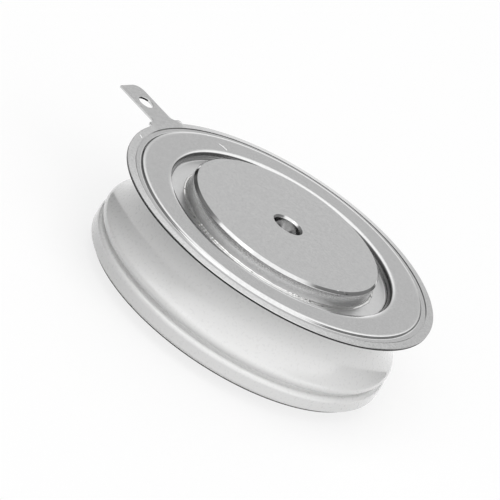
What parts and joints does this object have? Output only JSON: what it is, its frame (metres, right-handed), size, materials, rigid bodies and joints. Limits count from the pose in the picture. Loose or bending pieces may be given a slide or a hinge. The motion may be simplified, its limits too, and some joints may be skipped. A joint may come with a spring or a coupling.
{
  "type": "thyristor",
  "caption": "Flat disc-cell thyristor: ribbed glazed ceramic ring closed by thin metal flanges, a raised round contact pole on each face, a drilled tab and a gate pin on its side.",
  "frame": {"origin": "centre of the anode contact face, on the cell's axis", "axes": "+Z along the cell's axis from the anode face to the cathode face, -X through the auxiliary cathode tab"},
  "size_m": [0.049, 0.042, 0.014],
  "materials": {
    "glazed_ceramic": "gloss",
    "flange_sheet": "satin nickel plating",
    "diaphragm_sheet": "satin nickel plating",
    "plated_pole": "fine satin, lightly turned on the side",
    "braze_alloy": "smooth, slightly bright",
    "silver_foil": "bright",
    "molybdenum": "lapped",
    "silicon": "polished",
    "silicone": "matte",
    "white_plastic": "matte",
    "insulating_ceramic": "matte",
    "spring_wire": "drawn wire",
    "plated_contact": "bright nickel plating",
    "lead_wire": "drawn wire"
  },
  "bodies": {
    "root": {"ceramic_ring": "glazed_ceramic", "cathode_flange": "flange_sheet", "cathode_diaphragm": "diaphragm_sheet", "cathode_pole": "plated_pole", "cathode_pole_braze": "braze_alloy", "flange_braze": "braze_alloy", "anode_diaphragm": "diaphragm_sheet", "anode_pole": "plated_pole", "anode_pole_braze": "braze_alloy", "anode_seal_braze": "braze_alloy", "anode_foil": "silver_foil", "anode_moly_disc": "molybdenum", "silicon_wafer": "silicon", "wafer_edge_coating": "silicone", "cathode_moly_disc": "molybdenum", "cathode_foil": "silver_foil", "locating_ring": "white_plastic", "gate_cup": "insulating_ceramic", "gate_spring": "spring_wire", "gate_pin": "plated_contact", "gate_retainer": "insulating_ceramic", "gate_lead": "lead_wire", "gate_lead_sleeve": "white_plastic", "gate_tube": "flange_sheet", "gate_tube_braze": "braze_alloy", "gate_terminal": "plated_contact"}
  },
  "joints": []
}
